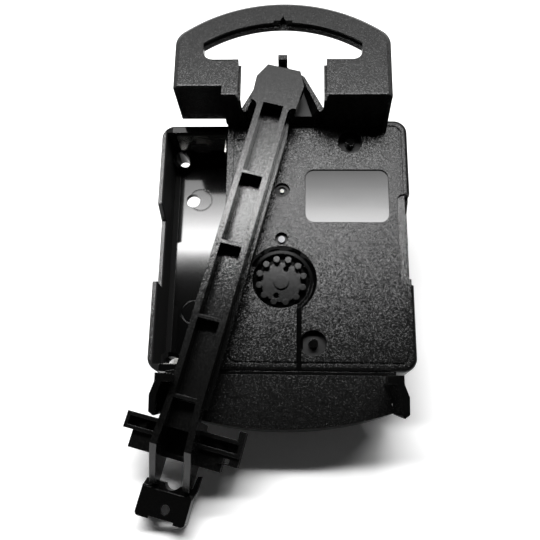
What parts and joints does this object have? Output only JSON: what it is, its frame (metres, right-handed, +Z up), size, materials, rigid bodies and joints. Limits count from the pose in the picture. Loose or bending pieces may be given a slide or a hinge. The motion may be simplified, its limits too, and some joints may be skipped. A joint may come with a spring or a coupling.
{
  "type": "quartz pendulum clock movement",
  "caption": "Battery clock movement with a wall hanger, hand shafts on the dial side and a swinging arm driven by a coil, whose foot carries a pendulum.",
  "frame": {"origin": "centre shaft's axis on the dial seat, the case's flat front face", "axes": "+Y along the hand shafts towards the dial, +Z up to the hanger, +X to the right for a viewer behind the clock"},
  "size_m": [0.0595, 0.0465, 0.1096],
  "materials": {
    "black_grained": "fine grain",
    "black_smooth": "moulded smooth",
    "steel": "plain",
    "brass": "turned",
    "nickel": "plated strip",
    "white_acetal": "plain",
    "copper_wire": "enamelled wire",
    "board_green": "solder mask",
    "chip_black": "potted",
    "magnet": "sintered"
  },
  "bodies": {
    "movement": {"front_shell": "black_smooth", "back_cover": "black_grained", "hanger_frame": "black_grained", "pivot_pin": "steel", "coil_housing": "black_smooth", "housing_cover": "black_grained", "stop_bracket_left": "black_smooth", "stop_bracket_right": "black_smooth", "locating_studs": "black_smooth", "contact_positive": "nickel", "contact_negative": "nickel", "gear_plate": "white_acetal", "circuit_board": "board_green", "control_chip": "chip_black", "quartz_crystal": "steel", "stator": "steel", "step_core": "steel", "step_bobbin": "white_acetal", "step_coil": "copper_wire", "drive_bobbin": "white_acetal", "drive_coil": "copper_wire", "threaded_bush": "brass"},
    "setting": {"set_wheel": "black_smooth", "minute_wheel": "white_acetal"},
    "minute": {"minute_pipe": "brass"},
    "hour": {"hour_wheel": "white_acetal"},
    "seconds": {"seconds_arbor": "steel", "seconds_wheel": "white_acetal"},
    "third": {"third_wheel": "white_acetal"},
    "centre": {"centre_wheel": "white_acetal"},
    "intermediate": {"intermediate_wheel": "white_acetal"},
    "rotor": {"rotor_pinion": "white_acetal", "rotor_magnet": "magnet"},
    "pendulum": {"pendulum_arm": "black_grained", "arm_magnet": "magnet", "hook_plate": "black_smooth"}
  },
  "joints": [
    {"name": "pendulum_swing", "type": "hinge", "parent": "movement", "child": "pendulum", "pos_m": [0, -0.0235, 0.0349], "axis": [0, -1, 0], "range_deg": [0, 28.4]},
    {"name": "seconds_spin", "type": "hinge", "parent": "movement", "child": "seconds", "pos_m": [0, -0.013, 0], "axis": [0, 1, 0], "continuous": true},
    {"name": "intermediate_spin", "type": "hinge", "parent": "movement", "child": "intermediate", "pos_m": [-0.0043, -0.013, 0.00578], "axis": [0, 1, 0], "continuous": true},
    {"name": "rotor_spin", "type": "hinge", "parent": "movement", "child": "rotor", "pos_m": [0, -0.013, 0.0113], "axis": [0, 1, 0], "continuous": true},
    {"name": "third_spin", "type": "hinge", "parent": "movement", "child": "third", "pos_m": [0.00831, -0.013, -0.00223], "axis": [0, 1, 0], "continuous": true},
    {"name": "centre_spin", "type": "hinge", "parent": "movement", "child": "centre", "pos_m": [0, -0.013, 0], "axis": [0, 1, 0], "continuous": true},
    {"name": "setting_spin", "type": "hinge", "parent": "movement", "child": "setting", "pos_m": [0, -0.013, -0.0093], "axis": [0, 1, 0], "continuous": true},
    {"name": "minute_spin", "type": "hinge", "parent": "movement", "child": "minute", "pos_m": [0, -0.013, 0], "axis": [0, 1, 0], "continuous": true},
    {"name": "hour_spin", "type": "hinge", "parent": "movement", "child": "hour", "pos_m": [0, -0.013, 0], "axis": [0, 1, 0], "continuous": true}
  ],
  "couplings": [
    {"joint": "intermediate_spin", "follows": "seconds_spin", "ratio": -5},
    {"joint": "rotor_spin", "follows": "seconds_spin", "ratio": 30},
    {"joint": "third_spin", "follows": "seconds_spin", "ratio": -0.13333},
    {"joint": "centre_spin", "follows": "seconds_spin", "ratio": 0.016667},
    {"joint": "minute_spin", "follows": "setting_spin", "ratio": -3},
    {"joint": "hour_spin", "follows": "setting_spin", "ratio": -0.25}
  ]
}
